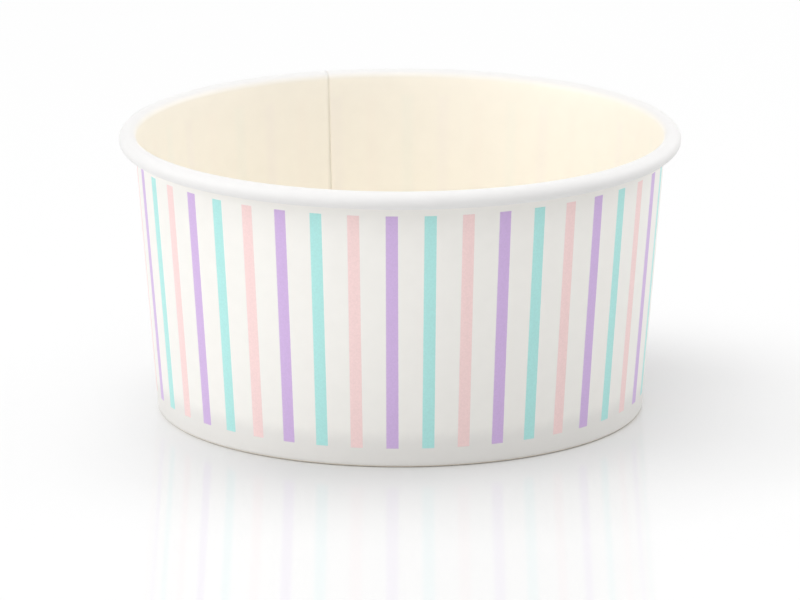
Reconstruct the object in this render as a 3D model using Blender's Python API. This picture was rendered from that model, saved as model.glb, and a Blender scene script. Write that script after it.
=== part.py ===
"""Short round paperboard ice cream tub, in metres, +Z up.

Two pieces of board. The side wall is one wrapped blank: its ends lap in a glued side seam,
its top edge is rolled outwards into a bead and its bottom edge is turned in and up into a hem.
The bottom disc has its edge turned down into a skirt, which stands in the fold of the hem.
The origin is the centre of the foot, on the surface that the tub stands on.
"""

import math

import bmesh
import bpy

MM = 0.001

# Driving dimensions
RIM_DIAMETER = 95.0 * MM        # over the rolled bead
BASE_DIAMETER = 82.4 * MM       # outside of the wall, carried down to the standing surface
HEIGHT = 48.0 * MM
BEAD_SIZE = 3.0 * MM            # thickness of the rolled bead
WALL_BOARD = 0.40 * MM          # thickness of the side wall's board
DISC_BOARD = 0.40 * MM          # thickness of the bottom disc's board
FLOOR_HEIGHT = 5.0 * MM         # top of the disc above the standing surface
DISC_CORNER = 0.8 * MM          # radius of the turn from disc to skirt, at mid board
FOLD_RADIUS = 0.45 * MM         # radius of the two turns at the foot, at mid board
SKIRT_CLEARANCE = 0.25 * MM     # between the disc's skirt and the board around it
HEM_CLEARANCE = 0.6 * MM        # hem's cut edge to the underside of the disc
LAP_WIDTH = 7.0 * MM            # overlap of the side seam, at the foot
LAP_GAP = 0.12 * MM             # glue line between the two layers of the seam
JOGGLE_WIDTH = 1.2 * MM         # length over which the outer layer steps out over the inner one
HEM_BUTT_GAP = 0.4 * MM         # gap between the ends of the hem, which meet without a lap
FLAP_TUCK = 1.0 * MM            # seam flap's lower end, below the top of the disc
FLAP_CORNER = 0.6 * MM          # height of the slanted cut at the flap's lower end
BEAD_TUCK_GAP = 0.12 * MM       # bead's cut edge to the wall beside it
SEAM_AZIMUTH = math.radians(108.0)

# Facets
TURN_STEPS = 88                 # round one full turn
FLAP_STEPS = 4
LAP_STEPS = 3
CURL_STEPS = 13
FOLD_STEPS = 3                  # for each quarter turn of the board
RAMP_STEPS = 2
FLAP_CORNER_STEPS = 3

# Derived sizes
CURL_RADIUS = (BEAD_SIZE - WALL_BOARD) / 2
CURL_CENTRE = (RIM_DIAMETER / 2 - BEAD_SIZE / 2, HEIGHT - BEAD_SIZE / 2)
BASE_RADIUS = BASE_DIAMETER / 2
LAP_SHIFT = WALL_BOARD + LAP_GAP
HEM_SPACING = WALL_BOARD + DISC_BOARD + 2 * SKIRT_CLEARANCE   # wall to hem, mid board to mid board
SKIRT_SPACING = (WALL_BOARD + DISC_BOARD) / 2 + SKIRT_CLEARANCE
FOLD_CENTRE_HEIGHT = FOLD_RADIUS + WALL_BOARD / 2
FLAP_FOOT = FLOOR_HEIGHT - FLAP_TUCK


def wall_slope():
    """Angle of the wall from vertical, for a mid surface that runs into the bead's curl."""
    run = CURL_CENTRE[0] - BASE_RADIUS
    rise = CURL_CENTRE[1]
    offset = CURL_RADIUS - WALL_BOARD / 2
    return math.atan2(run, rise) - math.asin(offset / math.hypot(run, rise))


SLOPE = wall_slope()


def radius_at(height, inward=0.0):
    """Radius of the line that lies inward of the wall's mid surface, square to it."""
    return BASE_RADIUS + height * math.tan(SLOPE) - (WALL_BOARD / 2 + inward) / math.cos(SLOPE)


def arc(centre, radius, start, end, steps):
    """Stations (r, z, normal r, normal z) on an arc, with normals that point out of it."""
    stations = []
    for step in range(steps + 1):
        angle = start + (end - start) * step / steps
        normal = (math.cos(angle), math.sin(angle))
        stations.append((centre[0] + radius * normal[0], centre[1] + radius * normal[1], *normal))
    return stations


def curl_turn(spacing, radius=CURL_RADIUS):
    """Angle that a bead rolls through before its mid surface is this close to the wall's."""
    return 2 * math.pi - math.acos(1 - spacing / radius)


def wall_stations(bead_turn):
    """Mid surface of the wall from hem edge to bead edge, as (r, z, normal r, normal z, lap share).

    Normals point to the printed side, which faces down at the foot and into the bead. The lap
    share says how far the outer layer of the seam has stepped out over the inner one.
    """
    out = (math.cos(SLOPE), -math.sin(SLOPE))
    hem_edge = FLOOR_HEIGHT - DISC_BOARD - HEM_CLEARANCE
    inner_centre = (radius_at(FOLD_CENTRE_HEIGHT, HEM_SPACING - FOLD_RADIUS), FOLD_CENTRE_HEIGHT)
    outer_centre = (radius_at(FOLD_CENTRE_HEIGHT, FOLD_RADIUS), FOLD_CENTRE_HEIGHT)
    down = -math.pi / 2

    stations = [(radius_at(hem_edge, HEM_SPACING), hem_edge, -out[0], -out[1], 0.0)]
    for point in arc(inner_centre, FOLD_RADIUS, -math.pi - SLOPE, down, FOLD_STEPS):
        stations.append((*point, 0.0))
    for point in arc(outer_centre, FOLD_RADIUS, down, -SLOPE, FOLD_STEPS):
        stations.append((*point, 0.0))

    ramp_start = stations[-1][1]
    ramp_end = FLAP_FOOT - LAP_GAP
    for step in range(1, RAMP_STEPS + 1):
        share = step / RAMP_STEPS
        height = ramp_start + (ramp_end - ramp_start) * share
        stations.append((radius_at(height), height, *out, share))
    for step in range(FLAP_CORNER_STEPS + 1):
        height = FLAP_FOOT + FLAP_CORNER * step / FLAP_CORNER_STEPS
        stations.append((radius_at(height), height, *out, 1.0))

    roll_start = math.pi - SLOPE
    for r, z, normal_r, normal_z in arc(CURL_CENTRE, CURL_RADIUS, roll_start, roll_start - bead_turn, CURL_STEPS):
        stations.append((r, z, -normal_r, -normal_z, 1.0))
    return stations


def section(stations, thickness, shift=0.0):
    """Closed outline of the board round its mid surface: the normals' side, then back on the other."""
    front = []
    back = []
    for r, z, normal_r, normal_z, share in stations:
        for side, offset in ((front, thickness / 2), (back, -thickness / 2)):
            distance = offset + shift * share
            side.append((r + normal_r * distance, z + normal_z * distance))
    return front + back[::-1]


def ring(bm, outline, azimuths):
    """Vertices of one outline, each point turned to its own azimuth."""
    return [bm.verts.new((r * math.cos(a), r * math.sin(a), z)) for (r, z), a in zip(outline, azimuths)]


def loft(bm, rings):
    """Faces between each ring of vertices and the next."""
    for first, second in zip(rings, rings[1:]):
        for i in range(len(first)):
            j = (i + 1) % len(first)
            bm.faces.new((first[i], first[j], second[j], second[i]))


def cut_edge(bm, vertices):
    """Faces across the thickness of the board, where a ring of vertices ends it."""
    half = len(vertices) // 2
    back = vertices[:half - 1:-1]
    for i in range(half - 1):
        bm.faces.new((vertices[i], vertices[i + 1], back[i + 1], back[i]))


def board_object(name, bm, colour, roughness):
    """Finish a bmesh as a smooth-shaded object with its own paperboard material."""
    bmesh.ops.recalc_face_normals(bm, faces=bm.faces)
    mesh = bpy.data.meshes.new(name)
    bm.to_mesh(mesh)
    bm.free()
    mesh.shade_smooth()
    mesh.set_sharp_from_angle(angle=math.radians(35.0))

    material = bpy.data.materials.new(name + "_board")
    material.use_nodes = True
    shader = material.node_tree.nodes["Principled BSDF"]
    shader.inputs["Base Color"].default_value = (*colour, 1.0)
    shader.inputs["Roughness"].default_value = roughness
    shader.inputs["Metallic"].default_value = 0.0
    material.diffuse_color = (*colour, 1.0)
    mesh.materials.append(material)

    piece = bpy.data.objects.new(name, mesh)
    bpy.context.scene.collection.objects.link(piece)
    return piece


def side_wall():
    """The wrapped blank. Its flap starts at azimuth 0, and its outer layer ends one lap past a turn.

    The flap is cut short above the foot, so that the hem is one layer thick all the way round.
    """
    lap = LAP_WIDTH / BASE_RADIUS
    joggle = JOGGLE_WIDTH / BASE_RADIUS
    hem_start = lap + HEM_BUTT_GAP / BASE_RADIUS
    turn = 2 * math.pi
    facet = turn / TURN_STEPS
    flap_end = hem_start + facet

    tucked = WALL_BOARD + BEAD_TUCK_GAP
    plain = wall_stations(curl_turn(tucked))
    flap = wall_stations(curl_turn(tucked + LAP_SHIFT))
    outer = wall_stations(curl_turn(tucked, CURL_RADIUS - LAP_SHIFT))

    bm = bmesh.new()
    rings = []

    starts = [hem_start * min(1.0, max(0.0, 1.0 - (z - FLAP_FOOT) / FLAP_CORNER)) for _, z, *_ in flap]
    starts += starts[::-1]
    for step in range(FLAP_STEPS):
        azimuths = [start + (flap_end - start) * step / FLAP_STEPS for start in starts]
        rings.append(ring(bm, section(flap, WALL_BOARD), azimuths))

    around = section(plain, WALL_BOARD)
    steps = round((turn - joggle - flap_end) / facet)
    for step in range(steps + 1):
        azimuth = flap_end + (turn - joggle - flap_end) * step / steps
        rings.append(ring(bm, around, [azimuth] * len(around)))

    over = section(outer, WALL_BOARD, LAP_SHIFT)
    for step in range(LAP_STEPS + 1):
        azimuth = turn + lap * step / LAP_STEPS
        rings.append(ring(bm, over, [azimuth] * len(over)))

    loft(bm, rings)
    cut_edge(bm, rings[0])
    cut_edge(bm, rings[-1])
    wall = board_object("side_wall", bm, (0.90, 0.89, 0.85), 0.45)
    wall.rotation_euler.z = SEAM_AZIMUTH
    return wall


def bottom_disc():
    """The disc with its edge turned down, modelled below its own top face."""
    corner_height = FLOOR_HEIGHT - DISC_BOARD / 2 - DISC_CORNER
    corner = (radius_at(corner_height, SKIRT_SPACING + DISC_CORNER), corner_height)
    skirt_end = WALL_BOARD + SKIRT_CLEARANCE

    stations = arc(corner, DISC_CORNER, math.pi / 2, -SLOPE, FOLD_STEPS)
    stations.append((radius_at(skirt_end, SKIRT_SPACING), skirt_end, math.cos(SLOPE), -math.sin(SLOPE)))
    outline = section([(*station, 0.0) for station in stations], DISC_BOARD)
    outline = [(r, z - FLOOR_HEIGHT) for r, z in outline]

    bm = bmesh.new()
    rings = []
    for step in range(TURN_STEPS):
        azimuth = 2 * math.pi * step / TURN_STEPS
        rings.append(ring(bm, outline, [azimuth] * len(outline)))
    for first, second in zip(rings, rings[1:] + rings[:1]):
        for i in range(len(outline) - 1):
            bm.faces.new((first[i], first[i + 1], second[i + 1], second[i]))
    bm.faces.new([vertices[0] for vertices in rings])
    bm.faces.new([vertices[-1] for vertices in rings])
    disc = board_object("bottom_disc", bm, (0.91, 0.89, 0.83), 0.5)
    disc.location.z = FLOOR_HEIGHT
    return disc


def main():
    for existing in list(bpy.data.objects):
        bpy.data.objects.remove(existing, do_unlink=True)
    side_wall()
    bottom_disc()


main()
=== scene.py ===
import math

import bmesh
import bpy
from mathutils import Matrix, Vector


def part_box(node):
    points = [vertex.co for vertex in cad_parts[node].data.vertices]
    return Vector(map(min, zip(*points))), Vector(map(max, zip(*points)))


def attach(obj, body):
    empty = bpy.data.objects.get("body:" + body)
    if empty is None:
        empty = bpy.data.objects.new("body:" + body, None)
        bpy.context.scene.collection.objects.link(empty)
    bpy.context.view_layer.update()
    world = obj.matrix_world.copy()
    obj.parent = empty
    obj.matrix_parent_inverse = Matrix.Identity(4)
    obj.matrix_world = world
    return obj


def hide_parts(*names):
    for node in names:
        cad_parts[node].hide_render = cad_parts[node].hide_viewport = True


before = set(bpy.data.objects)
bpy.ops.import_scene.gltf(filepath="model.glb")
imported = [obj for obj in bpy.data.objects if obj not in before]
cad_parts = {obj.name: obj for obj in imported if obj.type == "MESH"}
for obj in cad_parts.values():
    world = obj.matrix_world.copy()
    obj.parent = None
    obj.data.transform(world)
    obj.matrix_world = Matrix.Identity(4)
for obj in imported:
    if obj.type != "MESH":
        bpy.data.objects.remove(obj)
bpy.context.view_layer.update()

mm = 0.001
fullTurn = 2 * math.pi

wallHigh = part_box("side_wall")[1]
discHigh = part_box("bottom_disc")[1]

# the blank that is wrapped into the side wall
wall = {
    "board": 0.40 * mm,
    "baseRadius": 41.2 * mm,  # outside, carried down to the table
    "beadSize": 3.0 * mm,
    "foldRadius": 0.45 * mm,
    "skirtGap": 0.25 * mm,
    "hemGap": 0.6 * mm,  # hem edge to the underside of the disc
    "lapWidth": 7.0 * mm,
    "lapGap": 0.02 * mm,
    "lapPressed": 0.62,  # each layer of the seam is sealed down to this share of the board
    "joggle": 0.2 * mm,  # where the outer layer steps out over the flap
    "buttGap": 0.1 * mm,  # between the ends of the hem
    "flapTuck": 1.0 * mm,  # flap's lower end, below the top of the disc
    "flapCorner": 0.6 * mm,  # height of the slanted cut there
    "beadTuck": 0.12 * mm,  # bead's cut edge to the wall beside it
    "seamAzimuth": math.radians(108),
    "columns": 440,  # facets round one full turn
    "flapColumns": 14,  # across the flap, which is the seam's inner layer
    "flapEasing": 3,  # of those, where the flap's bead eases to the plain roll
    "flapSpare": 4,  # facets from the hem's end to plain board
    "joggleColumns": 6,
    "lapColumns": 10,
    "hemSteps": 4,
    "foldSteps": 6,
    "rampSteps": 8,  # foot to the flap's lower end
    "cornerSteps": 4,
    "wallSteps": 12,
    "curlSteps": 30,
    "checkBand": (20 * mm, 30 * mm),  # heights where the way its faces point is checked
}

# the disc pressed into its foot
disc = {
    "board": 0.40 * mm,
    "corner": 0.8 * mm,  # radius of the turn into the skirt
    "columns": 352,
    "cornerSteps": 8,
    "skirtSteps": 3,
    "rings": 14,
    "weld": 0.001 * mm,
}

floorHeight = discHigh.z
rimRadius = wallHigh.x
tubHeight = wallHigh.z
curlRadius = (wall["beadSize"] - wall["board"]) / 2
curlCentre = (rimRadius - wall["beadSize"] / 2, tubHeight - wall["beadSize"] / 2)
pressedBoard = wall["board"] * wall["lapPressed"]
flapShift = (pressedBoard - wall["board"]) / 2
lapShift = flapShift + pressedBoard + wall["lapGap"]
flapFoot = floorHeight - wall["flapTuck"]
skirtInset = (wall["board"] + disc["board"]) / 2 + wall["skirtGap"]
hemInset = wall["board"] + disc["board"] + 2 * wall["skirtGap"]


def findSlope():
    run, rise = curlCentre[0] - wall["baseRadius"], curlCentre[1]
    return math.atan2(run, rise) - math.asin((curlRadius - wall["board"] / 2) / math.hypot(run, rise))


slope = findSlope()


def radiusAt(height, inset=0.0):  # on the wall's mid surface, or inset from it
    return wall["baseRadius"] + height * math.tan(slope) - (wall["board"] / 2 + inset) / math.cos(slope)


def smoothStep(value):
    value = min(1.0, max(0.0, value))
    return value * value * (3 - 2 * value)


def arcPoints(centre, radius, start, end, steps):
    points = []
    for step in range(steps + 1):
        angle = start + (end - start) * step / steps
        points.append((centre[0] + radius * math.cos(angle), centre[1] + radius * math.sin(angle), angle))
    return points


def beadTurn(spacing, radius):  # how far the curl rolls before it meets the wall
    return fullTurn - math.acos(1 - spacing / radius)


# radius, height, angle of the printed side's normal and share of the lap's step, from hem edge to bead edge
def wallLine(rolled):
    line = []
    fold = wall["foldRadius"]
    hemEdge = floorHeight - disc["board"] - wall["hemGap"]
    foldHeight = fold + wall["board"] / 2
    inner = (radiusAt(foldHeight, hemInset - fold), foldHeight)
    outer = (radiusAt(foldHeight, fold), foldHeight)
    for step in range(wall["hemSteps"]):
        height = hemEdge + (foldHeight - hemEdge) * step / wall["hemSteps"]
        line.append((radiusAt(height, hemInset), height, -math.pi - slope, 0.0))
    for r, z, angle in arcPoints(inner, fold, -math.pi - slope, -math.pi / 2, wall["foldSteps"]):
        line.append((r, z, angle, 0.0))
    for r, z, angle in arcPoints(outer, fold, -math.pi / 2, -slope, wall["foldSteps"]):
        line.append((r, z, angle, 0.0))
    rampStart, rampEnd = line[-1][1], flapFoot - wall["lapGap"]
    for step in range(1, wall["rampSteps"] + 1):
        share = step / wall["rampSteps"]
        height = rampStart + (rampEnd - rampStart) * share
        line.append((radiusAt(height), height, -slope, smoothStep(share)))
    for step in range(wall["cornerSteps"] + 1):
        height = flapFoot + wall["flapCorner"] * step / wall["cornerSteps"]
        line.append((radiusAt(height), height, -slope, 1.0))
    bareStart = line[-1][1]
    for step in range(1, wall["wallSteps"]):
        height = bareStart + (curlCentre[1] - bareStart) * step / wall["wallSteps"]
        line.append((radiusAt(height), height, -slope, 1.0))
    rollStart = math.pi - slope
    for r, z, angle in arcPoints(curlCentre, curlRadius, rollStart, rollStart - rolled, wall["curlSteps"]):
        line.append((r, z, angle + math.pi, 1.0))
    return line


def finishMesh(name, bm):
    mesh = bpy.data.meshes.new(name)
    bm.to_mesh(mesh)
    bm.free()
    mesh.shade_smooth()
    piece = bpy.data.objects.new(name, mesh)
    bpy.context.scene.collection.objects.link(piece)
    return piece


def buildWall():
    lap = wall["lapWidth"] / wall["baseRadius"]
    joggle = wall["joggle"] / wall["baseRadius"]
    hemStart = lap + wall["buttGap"] / wall["baseRadius"]
    facet = fullTurn / wall["columns"]
    flapEnd = hemStart + wall["flapSpare"] * facet
    tucked = wall["board"] + wall["beadTuck"]
    plainRoll = beadTurn(tucked, curlRadius)
    flapRoll = beadTurn(tucked + lapShift, curlRadius)
    overRoll = beadTurn(tucked, curlRadius - lapShift)

    # azimuth on the sheet and how far the bead is rolled there
    columns = []
    pressedColumns = wall["flapColumns"] - wall["flapEasing"]
    for step in range(wall["flapColumns"]):
        eased = smoothStep((step - pressedColumns) / wall["flapEasing"])
        columns.append((flapEnd * step / wall["flapColumns"], flapRoll + (plainRoll - flapRoll) * eased))
    plainTurn = fullTurn - joggle - flapEnd
    steps = round(plainTurn / facet)
    columns += [(flapEnd + plainTurn * step / steps, plainRoll) for step in range(steps)]
    for step in range(wall["joggleColumns"]):
        share = step / wall["joggleColumns"]
        rolled = plainRoll + (overRoll - plainRoll) * smoothStep(share)
        columns.append((fullTurn - joggle + joggle * share, rolled))
    for step in range(wall["lapColumns"] + 1):
        columns.append((fullTurn + lap * step / wall["lapColumns"], overRoll))

    bm = bmesh.new()
    station = bm.verts.layers.int.new("station")
    column = bm.verts.layers.int.new("column")
    start = [bm.verts.new((r, 0, z)) for r, z, _, _ in wallLine(plainRoll)]
    for index, vertex in enumerate(start):
        vertex[station] = index
    ring = start + [bm.edges.new(pair) for pair in zip(start, start[1:])]
    for index in range(1, len(columns)):
        swing = columns[index][0] - columns[index - 1][0]
        ring = bmesh.ops.spin(bm, geom=ring, axis=(0, 0, 1), angle=swing, steps=1)["geom_last"]
        for part in ring:
            if isinstance(part, bmesh.types.BMVert):
                part[column] = index

    lines = {rolled: wallLine(rolled) for rolled in {roll for _, roll in columns}}
    sheet = bm.loops.layers.uv.new("sheet")
    lengths = [0.0]
    plain = wallLine(plainRoll)
    for before, after in zip(plain, plain[1:]):
        lengths.append(lengths[-1] + math.hypot(after[0] - before[0], after[1] - before[1]))
    wallFoot = next(i for i, point in enumerate(plain) if point[3] > 0) - 1
    lengths = [length - lengths[wallFoot] + plain[wallFoot][1] / math.cos(slope) for length in lengths]

    cutTop = flapFoot + wall["flapCorner"]
    sheetAzimuth = {}
    bm.verts.index_update()
    fullness = []  # of the board at each vertex, 0 where the seam is pressed
    for vertex in bm.verts:
        azimuth, rolled = columns[vertex[column]]
        r, z, normal, share = lines[rolled][vertex[station]]
        if vertex[column] < wall["flapColumns"] and z < cutTop:  # the flap's lower end is cut away
            cut = hemStart * min(1.0, (cutTop - z) / wall["flapCorner"])
            azimuth = cut + (flapEnd - cut) * azimuth / flapEnd
        over = share * smoothStep((azimuth - fullTurn + joggle) / joggle)
        under = share * smoothStep((flapEnd - azimuth) / (flapEnd - lap))
        fullness.append(1 - over - under)
        stepped = lapShift * over + flapShift * under
        r, z = r + stepped * math.cos(normal), z + stepped * math.sin(normal)
        place = azimuth + wall["seamAzimuth"]
        vertex.co = (r * math.cos(place), r * math.sin(place), z)
        sheetAzimuth[vertex] = azimuth
    for face in bm.faces:
        for corner in face.loops:
            corner[sheet].uv = (sheetAzimuth[corner.vert] / fullTurn, lengths[corner.vert[station]])
    bmesh.ops.recalc_face_normals(bm, faces=bm.faces)
    bm.faces.ensure_lookup_table()
    low, high = wall["checkBand"]
    outside = [face for face in bm.faces if low < face.calc_center_median().z < high]
    facing = sum(face.normal.dot(Vector((*face.calc_center_median().xy, 0))) for face in outside)
    if facing < 0:
        bmesh.ops.reverse_faces(bm, faces=bm.faces)
    piece = finishMesh("tubWall", bm)
    pressed = piece.vertex_groups.new(name="fullness")
    for index, share in enumerate(fullness):
        pressed.add([index], share, "REPLACE")
    thick = piece.modifiers.new("board", "SOLIDIFY")
    thick.vertex_group = "fullness"
    thick.thickness_vertex_group = wall["lapPressed"]
    thick.thickness = wall["board"]
    thick.offset = 0
    thick.use_even_offset = True
    thick.material_offset = 1
    thick.material_offset_rim = 2
    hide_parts("side_wall")
    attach(piece, "root")
    return piece


def buildDisc():
    cornerHeight = floorHeight - disc["board"] / 2 - disc["corner"]
    corner = (radiusAt(cornerHeight, skirtInset + disc["corner"]), cornerHeight)
    skirtEnd = wall["board"] + wall["skirtGap"]
    midHeight = floorHeight - disc["board"] / 2
    line = [(corner[0] * step / disc["rings"], midHeight) for step in range(disc["rings"])]
    turn = arcPoints(corner, disc["corner"], math.pi / 2, -slope, disc["cornerSteps"])
    line += [(r, z) for r, z, _ in turn]
    for step in range(1, disc["skirtSteps"] + 1):
        last = line[-1][1]
        height = last + (skirtEnd - last) * step / disc["skirtSteps"]
        line.append((radiusAt(height, skirtInset), height))

    bm = bmesh.new()
    start = [bm.verts.new((r, 0, z)) for r, z in line]
    profile = start + [bm.edges.new(pair) for pair in zip(start, start[1:])]
    bmesh.ops.spin(bm, geom=profile, axis=(0, 0, 1), angle=fullTurn, steps=disc["columns"], use_merge=True)
    bmesh.ops.remove_doubles(bm, verts=bm.verts, dist=disc["weld"])
    bmesh.ops.recalc_face_normals(bm, faces=bm.faces)
    centreFace = min(bm.faces, key=lambda face: face.calc_center_median().xy.length)
    if centreFace.normal.z < 0:
        bmesh.ops.reverse_faces(bm, faces=bm.faces)
    piece = finishMesh("tubDisc", bm)
    thick = piece.modifiers.new("board", "SOLIDIFY")
    thick.thickness = disc["board"]
    thick.offset = 0
    thick.use_even_offset = True
    thick.material_offset = 1
    thick.material_offset_rim = 2
    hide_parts("bottom_disc")
    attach(piece, "root")
    return piece


tubWall = buildWall()
print("side wall wrapped:", len(tubWall.data.polygons), "faces")
tubDisc = buildDisc()
print("bottom disc pressed:", len(tubDisc.data.polygons), "faces")


def paint(red, green, blue):  # a display colour, 0 to 255, brought to linear light
    channels = [value / 255 for value in (red, green, blue)]
    return (*(c / 12.92 if c < 0.04045 else ((c + 0.055) / 1.055) ** 2.4 for c in channels), 1.0)


def put(tree, socket, value):
    if isinstance(value, bpy.types.NodeSocket):
        tree.links.new(value, socket)
    else:
        socket.default_value = value


def calc(tree, operation, *values):
    node = tree.nodes.new("ShaderNodeMath")
    node.operation = operation
    for socket, value in zip(node.inputs, values):
        put(tree, socket, value)
    return node.outputs[0]


def fade(tree, value, low, high):  # 0 below low, 1 above high, soft between
    node = tree.nodes.new("ShaderNodeMapRange")
    node.interpolation_type = "SMOOTHSTEP"
    put(tree, node.inputs["Value"], value)
    node.inputs["From Min"].default_value = low
    node.inputs["From Max"].default_value = high
    return node.outputs["Result"]


def tint(tree, share, first, second, blend="MIX"):
    node = tree.nodes.new("ShaderNodeMix")
    node.data_type = "RGBA"
    node.blend_type = blend
    put(tree, node.inputs["Factor"], share)
    put(tree, node.inputs["A"], first)
    put(tree, node.inputs["B"], second)
    return node.outputs["Result"]


def grain(tree, size, detail=2.0, roughness=0.5):  # cloudy noise, 0 to 1, with spots of that size
    place = tree.nodes.new("ShaderNodeTexCoord")
    node = tree.nodes.new("ShaderNodeTexNoise")
    node.inputs["Scale"].default_value = 1 / size
    node.inputs["Detail"].default_value = detail
    node.inputs["Roughness"].default_value = roughness
    tree.links.new(place.outputs["Object"], node.inputs["Vector"])
    return node.outputs["Fac"]


def grey(tree, value):  # a grey of that value
    node = tree.nodes.new("ShaderNodeCombineColor")
    for name in ("Red", "Green", "Blue"):
        tree.links.new(value, node.inputs[name])
    return node.outputs["Color"]


def clouded(tree, colour, size, share):  # lighter and darker by half that share, in spots of that size
    cloud = calc(tree, "MULTIPLY_ADD", grain(tree, size, detail=3.0), share, 1 - share / 2)
    return tint(tree, 1.0, colour, grey(tree, cloud), "MULTIPLY")


def newFinish(name, roughness):
    material = bpy.data.materials.new(name)
    material.use_nodes = True
    shader = material.node_tree.nodes["Principled BSDF"]
    shader.inputs["Roughness"].default_value = roughness
    return material, material.node_tree, shader


# the fine unevenness of the board
felt = {
    "strength": 0.5,
    "detail": 3.0,
    "roughness": 0.6,
}


def boardBump(tree, shader, size, depth, pressed=0.0):
    bump = tree.nodes.new("ShaderNodeBump")
    bump.inputs["Strength"].default_value = felt["strength"]
    bump.inputs["Distance"].default_value = depth
    uneven = grain(tree, size, felt["detail"], felt["roughness"])
    put(tree, bump.inputs["Height"], calc(tree, "ADD", uneven, pressed))
    tree.links.new(bump.outputs["Normal"], shader.inputs["Normal"])


# candy stripes printed along the wall
stripes = {
    "count": 44,
    "firstPurple": 1.806,  # stripe spacings from the flap's edge
    "width": 2.0 * mm,
    "bottom": 3.36 * mm,
    "top": 43.67 * mm,
    "raggedSpots": 0.5 * mm,
    "colours": (paint(212, 183, 230), paint(179, 235, 231), paint(250, 219, 217)),  # purple, teal, pink
}


def sheetPlace(tree):  # turns round the tub and slant height
    uvMap = tree.nodes.new("ShaderNodeUVMap")
    uvMap.uv_map = "sheet"
    split = tree.nodes.new("ShaderNodeSeparateXYZ")
    tree.links.new(uvMap.outputs["UV"], split.inputs["Vector"])
    return split.outputs["X"], split.outputs["Y"]


def stripePrint(tree, turns, height, blur, ragged):  # how much ink, and its colour
    colours = stripes["colours"]
    ahead = len(colours) + 0.5 - stripes["firstPurple"]  # a whole round more keeps the count above 0
    place = calc(tree, "MULTIPLY_ADD", turns, float(stripes["count"]), ahead)
    index = calc(tree, "FLOOR", place)
    offCentre = calc(tree, "ABSOLUTE", calc(tree, "SUBTRACT", calc(tree, "FRACT", place), 0.5))
    radius = calc(tree, "MULTIPLY_ADD", height, math.sin(slope), wall["baseRadius"])
    across = calc(tree, "MULTIPLY", calc(tree, "MULTIPLY", offCentre, radius), fullTurn / stripes["count"])
    sideways = calc(tree, "SUBTRACT", across, stripes["width"] / 2)
    middle, half = (stripes["top"] + stripes["bottom"]) / 2, (stripes["top"] - stripes["bottom"]) / 2
    endways = calc(tree, "SUBTRACT", calc(tree, "ABSOLUTE", calc(tree, "SUBTRACT", height, middle)), half)
    outside = calc(tree, "MAXIMUM", sideways, endways)
    if ragged:
        shift = calc(tree, "MULTIPLY_ADD", grain(tree, stripes["raggedSpots"]), ragged, -ragged / 2)
        outside = calc(tree, "ADD", outside, shift)
    ink = fade(tree, calc(tree, "MULTIPLY", outside, -1.0), -blur / 2, blur / 2)
    ramp = tree.nodes.new("ShaderNodeValToRGB")
    ramp.color_ramp.interpolation = "CONSTANT"
    ramp.color_ramp.elements[0].color = colours[0]
    ramp.color_ramp.elements[1].position = 1 / len(colours)
    ramp.color_ramp.elements[1].color = colours[1]
    ramp.color_ramp.elements.new(2 / len(colours)).color = colours[2]
    number = calc(tree, "FLOORED_MODULO", index, float(len(colours)))
    share = calc(tree, "DIVIDE", calc(tree, "ADD", number, 0.5), float(len(colours)))
    tree.links.new(share, ramp.inputs["Fac"])
    return ink, ramp.outputs["Color"]


printed = {
    "white": paint(247, 245, 240),
    "foot": paint(236, 234, 230),  # where the folded layers behind stop the light
    "footBlend": (-1.2 * mm, 1.9 * mm),  # from the top of the disc
    "footRagged": 0.9 * mm,
    "footSpots": 1.5 * mm,
    # fold and foldBlend: warm tan along the bottom of the fold, partly the board stretched there, partly
    # painted contact shade with warm bounce from the table
    "fold": paint(247, 236, 216),
    "foldBlend": (0.15 * mm, 0.55 * mm),
    "cloud": (2.5 * mm, 0.04),  # size of the spots and how much they differ
    "mottle": (0.35 * mm, 0.16),  # the same for the ink
    "inkEdge": 0.06 * mm,  # how soft it is, and how ragged
    "ribs": 240,  # knurl pressed into the hem
    "ribsBlend": (1.0 * mm, 1.3 * mm),  # they start this far past the fold
    "ribsDepth": 4.0,  # times the felt's depth, as for the ledge
    "ledge": (6.7 * mm, 7.0 * mm),  # faint step that the foot's tools leave
    "ledgeDepth": 2.0,
    "felt": (0.4 * mm, 0.01 * mm),  # size of its spots and their depth
    "roughness": 0.42,
}


def printedSide():
    material, tree, shader = newFinish("printedSide", printed["roughness"])
    turns, height = sheetPlace(tree)
    ragged = printed["footRagged"]
    shift = calc(tree, "MULTIPLY_ADD", grain(tree, printed["footSpots"]), ragged, -ragged / 2)
    uneven = calc(tree, "ADD", height, shift)
    low, high = (floorHeight + reach for reach in printed["footBlend"])
    board = tint(tree, fade(tree, uneven, low, high), printed["foot"], printed["white"])
    # the fold's warm tan: stretched board and painted contact shade with warm bounce
    board = tint(tree, fade(tree, height, *printed["foldBlend"]), printed["fold"], board)
    board = clouded(tree, board, *printed["cloud"])
    ink, colour = stripePrint(tree, turns, height, printed["inkEdge"], printed["inkEdge"])
    colour = clouded(tree, colour, *printed["mottle"])
    put(tree, shader.inputs["Base Color"], tint(tree, ink, board, colour))
    wave = calc(tree, "SINE", calc(tree, "MULTIPLY", turns, fullTurn * printed["ribs"]))
    onHem = fade(tree, calc(tree, "MULTIPLY", height, -1.0), *printed["ribsBlend"])
    ribs = calc(tree, "MULTIPLY", calc(tree, "MULTIPLY", wave, onHem), printed["ribsDepth"])
    ledge = calc(tree, "MULTIPLY", fade(tree, height, *printed["ledge"]), printed["ledgeDepth"])
    boardBump(tree, shader, *printed["felt"], calc(tree, "ADD", ribs, ledge))
    return material


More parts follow.
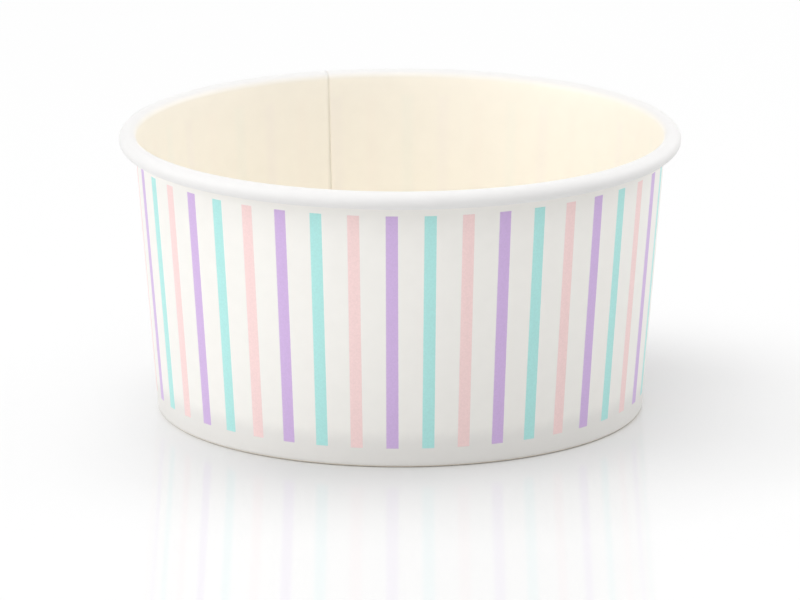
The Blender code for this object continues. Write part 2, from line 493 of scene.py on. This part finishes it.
food = {
    "cream": paint(254, 249, 238),
    # bead: the food side over the curl, partly the film and fibre pressed there, partly painted light:
    # painted neutral and darker than the cream where the curl faces the lamps
    "bead": paint(234, 233, 232),
    "beadBlend": (-0.1 * mm, 1.4 * mm),  # from the start of the curl
    "showThrough": 0.035,  # of the stripes on the other side
    "showBlur": 1.6 * mm,
    "cloud": (3.0 * mm, 0.04),
    "felt": (0.5 * mm, 0.01 * mm),
    "roughness": 0.36,
    "beadRoughness": 0.6,  # the film stretches dull over the curl
}


def foodSide():
    material, tree, shader = newFinish("foodSide", food["roughness"])
    turns, height = sheetPlace(tree)
    beadStart = curlCentre[1] / math.cos(slope)
    onBead = fade(tree, height, *(beadStart + reach for reach in food["beadBlend"]))
    # cream inside to the bead's colour over the curl, in part painted light where the curl faces the lamps
    board = tint(tree, onBead, food["cream"], food["bead"])
    duller = calc(tree, "MULTIPLY_ADD", onBead, food["beadRoughness"] - food["roughness"], food["roughness"])
    put(tree, shader.inputs["Roughness"], duller)
    ink, colour = stripePrint(tree, turns, height, food["showBlur"], 0)
    board = tint(tree, calc(tree, "MULTIPLY", ink, food["showThrough"]), board, colour)
    put(tree, shader.inputs["Base Color"], clouded(tree, board, *food["cloud"]))
    boardBump(tree, shader, *food["felt"])
    return material


rawEdge = {
    "dark": paint(222, 203, 168),
    "light": paint(246, 233, 206),
    "fibres": 0.12 * mm,
    "roughness": 0.85,
}


def cutEdge():
    material, tree, shader = newFinish("cutEdge", rawEdge["roughness"])
    fibres = grain(tree, rawEdge["fibres"], detail=3.0)
    put(tree, shader.inputs["Base Color"], tint(tree, fibres, rawEdge["dark"], rawEdge["light"]))
    return material


coated = {
    "flat": paint(240, 234, 222),
    # corner: darker golden ring where the disc turns down against the wall, painted shade with warm bounce in
    # that groove
    "corner": paint(228, 207, 166),
    "cloud": (2.2 * mm, 0.05),
    "felt": (0.4 * mm, 0.01 * mm),
    "roughness": 0.4,
}


def discTop():
    material, tree, shader = newFinish("discTop", coated["roughness"])
    place = tree.nodes.new("ShaderNodeTexCoord")
    split = tree.nodes.new("ShaderNodeSeparateXYZ")
    tree.links.new(place.outputs["Object"], split.inputs["Vector"])
    squares = [calc(tree, "POWER", split.outputs[axis], 2.0) for axis in ("X", "Y")]
    radius = calc(tree, "SQRT", calc(tree, "ADD", *squares))
    flat = radiusAt(floorHeight, skirtInset + disc["corner"])
    # painted shade: darker and golden towards the disc's rim, for the groove against the wall
    board = tint(tree, fade(tree, radius, flat, flat + disc["corner"]), coated["flat"], coated["corner"])
    put(tree, shader.inputs["Base Color"], clouded(tree, board, *coated["cloud"]))
    boardBump(tree, shader, *coated["felt"])
    return material


uncoated = {
    "dark": paint(233, 225, 208),
    "light": paint(247, 242, 231),
    "fibres": 0.8 * mm,
    "felt": (0.3 * mm, 0.02 * mm),
    "roughness": 0.7,
}


def discUnder():
    material, tree, shader = newFinish("discUnder", uncoated["roughness"])
    fibres = grain(tree, uncoated["fibres"], detail=5.0, roughness=0.65)
    put(tree, shader.inputs["Base Color"], tint(tree, fibres, uncoated["dark"], uncoated["light"]))
    boardBump(tree, shader, *uncoated["felt"])
    return material


edges = cutEdge()
for material in (printedSide(), foodSide(), edges):
    tubWall.data.materials.append(material)
for material in (discTop(), discUnder(), edges):
    tubDisc.data.materials.append(material)
print("board finished and printed")


stage = {
    "tableRadius": 4.0,
    "tableHole": 0.98,  # of the foot's radius, under the tub, so that its underside can be seen
    "tableSides": 96,
    "tableDrop": 0.02 * mm,  # below the tub's foot
    "skyStrength": 0.5,
    "tableSeen": (0.9, 0.9, 0.9, 1),
    "bounceNear": (0.58, 0.58, 0.58, 1),  # what it throws back up at the tub, beside it; darker than far off, painted shade on the table that shows only in that bounce
    "bounceFar": (0.95, 0.95, 0.95, 1),
    "tableGlow": 1.05,
    "glowNear": 0.1,
    "glowFar": 0.85,
    "glowCentre": (0.03, -0.024, 0.0),
    "glowRadii": (0.046, 0.095),  # it grows between these distances from there
    "contactShade": 0.7,  # in front; the sides get less
    "contactSides": 0.3,
    "contactFront": (-0.01, 0.05),  # metres towards the camera
    "contactReach": 0.05,
    "contactLimit": 0.4,  # so that the gap under the fold is no black line
    "shine": 0.17,
    "shineRoughness": 0.06,
    "lamps": {  # place, size, watts
        "keyLeft": ((-1.0, -0.2, 0.4), 0.7, 3.3),
        "topFront": ((0.0, -0.6, 1.0), 0.8, 3.1),
        "overhead": ((-0.1, -0.28, 1.12), 0.8, 3.6),
        "backRight": ((0.85, 0.45, 0.6), 0.7, 3.8),
        "underside": ((0.0, 0.05, -0.5), 0.4, 0.9),
    },
    "lampTarget": (0.0, 0.0, 0.02),
    "cameraPlace": (0.0372, -1.2062, 0.3280),
    "cameraTarget": (0.0, 0.0, 0.018),
    "lens": 330,
    "clipStart": 0.01,
}


def seenStraight(tree):  # 1 for what the camera sees, also in a gloss or through glass
    path = tree.nodes.new("ShaderNodeLightPath")
    share = calc(tree, "MAXIMUM", path.outputs["Is Camera Ray"], path.outputs["Is Glossy Ray"])
    return calc(tree, "MAXIMUM", share, path.outputs["Is Transmission Ray"])


def buildSky():
    world = bpy.data.worlds.new("studio")
    bpy.context.scene.world = world
    world.use_nodes = True
    tree = world.node_tree
    background = tree.nodes["Background"]
    background.inputs["Color"].default_value = (1, 1, 1, 1)
    sky = stage["skyStrength"]
    put(tree, background.inputs["Strength"], calc(tree, "MULTIPLY_ADD", seenStraight(tree), 1 - sky, sky))


def blendShaders(tree, share, first, second):
    node = tree.nodes.new("ShaderNodeMixShader")
    put(tree, node.inputs["Fac"], share)
    tree.links.new(first, node.inputs[1])
    tree.links.new(second, node.inputs[2])
    return node.outputs["Shader"]


def glossyWhite():
    material = bpy.data.materials.new("glossyWhite")
    material.use_nodes = True
    tree = material.node_tree
    tree.nodes.remove(tree.nodes["Principled BSDF"])
    straight = seenStraight(tree)
    place = tree.nodes.new("ShaderNodeTexCoord")
    distance = tree.nodes.new("ShaderNodeVectorMath")
    distance.operation = "DISTANCE"
    distance.inputs[1].default_value = stage["glowCentre"]
    tree.links.new(place.outputs["Object"], distance.inputs[0])
    away = fade(tree, distance.outputs["Value"], *stage["glowRadii"])
    split = tree.nodes.new("ShaderNodeSeparateXYZ")
    tree.links.new(place.outputs["Object"], split.inputs["Vector"])
    front = fade(tree, calc(tree, "MULTIPLY", split.outputs["Y"], -1.0), *stage["contactFront"])
    sides = stage["contactSides"]
    depth = calc(tree, "MULTIPLY_ADD", front, stage["contactShade"] - sides, sides)
    nearness = tree.nodes.new("ShaderNodeAmbientOcclusion")
    nearness.inputs["Distance"].default_value = stage["contactReach"]
    hidden = calc(tree, "MINIMUM", calc(tree, "SUBTRACT", 1.0, nearness.outputs["AO"]), stage["contactLimit"])
    shade = calc(tree, "SUBTRACT", 1.0, calc(tree, "MULTIPLY", hidden, depth))
    seen = tint(tree, 1.0, stage["tableSeen"], grey(tree, shade), "MULTIPLY")
    # painted shade: the bounce colour is darker near the tub
    bounce = tint(tree, away, stage["bounceNear"], stage["bounceFar"])
    matte = tree.nodes.new("ShaderNodeBsdfDiffuse")
    put(tree, matte.inputs["Color"], tint(tree, straight, bounce, seen))
    glow = tree.nodes.new("ShaderNodeEmission")
    glow.inputs["Strength"].default_value = stage["tableGlow"]
    shine = tree.nodes.new("ShaderNodeBsdfGlossy")
    shine.inputs["Roughness"].default_value = stage["shineRoughness"]
    share = calc(tree, "MULTIPLY_ADD", away, stage["glowFar"] - stage["glowNear"], stage["glowNear"])
    glowing = calc(tree, "MULTIPLY", straight, share)
    body = blendShaders(tree, glowing, matte.outputs["BSDF"], glow.outputs["Emission"])
    surface = blendShaders(tree, stage["shine"], body, shine.outputs["BSDF"])
    facing = tree.nodes.new("ShaderNodeNewGeometry")
    clear = tree.nodes.new("ShaderNodeBsdfTransparent")
    fromBelow = calc(tree, "MULTIPLY", straight, facing.outputs["Backfacing"])
    surface = blendShaders(tree, fromBelow, surface, clear.outputs["BSDF"])
    tree.links.new(surface, tree.nodes["Material Output"].inputs["Surface"])
    return material


def buildTable():
    bm = bmesh.new()
    radii = (stage["tableHole"] * wall["baseRadius"], stage["tableRadius"])
    ends = [bm.verts.new((radius, 0, -stage["tableDrop"])) for radius in radii]
    edge = ends + [bm.edges.new(ends)]
    bmesh.ops.spin(bm, geom=edge, axis=(0, 0, 1), angle=fullTurn, steps=stage["tableSides"], use_merge=True)
    for face in bm.faces:
        face.normal_update()
        if face.normal.z < 0:
            face.normal_flip()
    table = finishMesh("table", bm)
    table.data.materials.append(glossyWhite())


def addLamp(name, place, size, watts):
    lampData = bpy.data.lights.new(name, "AREA")
    lampData.energy = watts
    lampData.size = size
    lamp = bpy.data.objects.new(name, lampData)
    lamp.location = place
    lamp.rotation_euler = (Vector(stage["lampTarget"]) - lamp.location).to_track_quat("-Z", "Y").to_euler()
    bpy.context.scene.collection.objects.link(lamp)


def addCamera():
    cameraData = bpy.data.cameras.new("camera")
    cameraData.lens = stage["lens"]
    cameraData.clip_start = stage["clipStart"]
    camera = bpy.data.objects.new("camera", cameraData)
    camera.location = stage["cameraPlace"]
    aim = Vector(stage["cameraTarget"]) - camera.location
    camera.rotation_euler = aim.to_track_quat("-Z", "Y").to_euler()
    bpy.context.scene.collection.objects.link(camera)
    bpy.context.scene.camera = camera


buildSky()
buildTable()
for name, (place, size, watts) in stage["lamps"].items():
    addLamp(name, place, size, watts)
addCamera()
bpy.context.scene.view_settings.view_transform = "Standard"
print("table, sky, lamps and camera set")
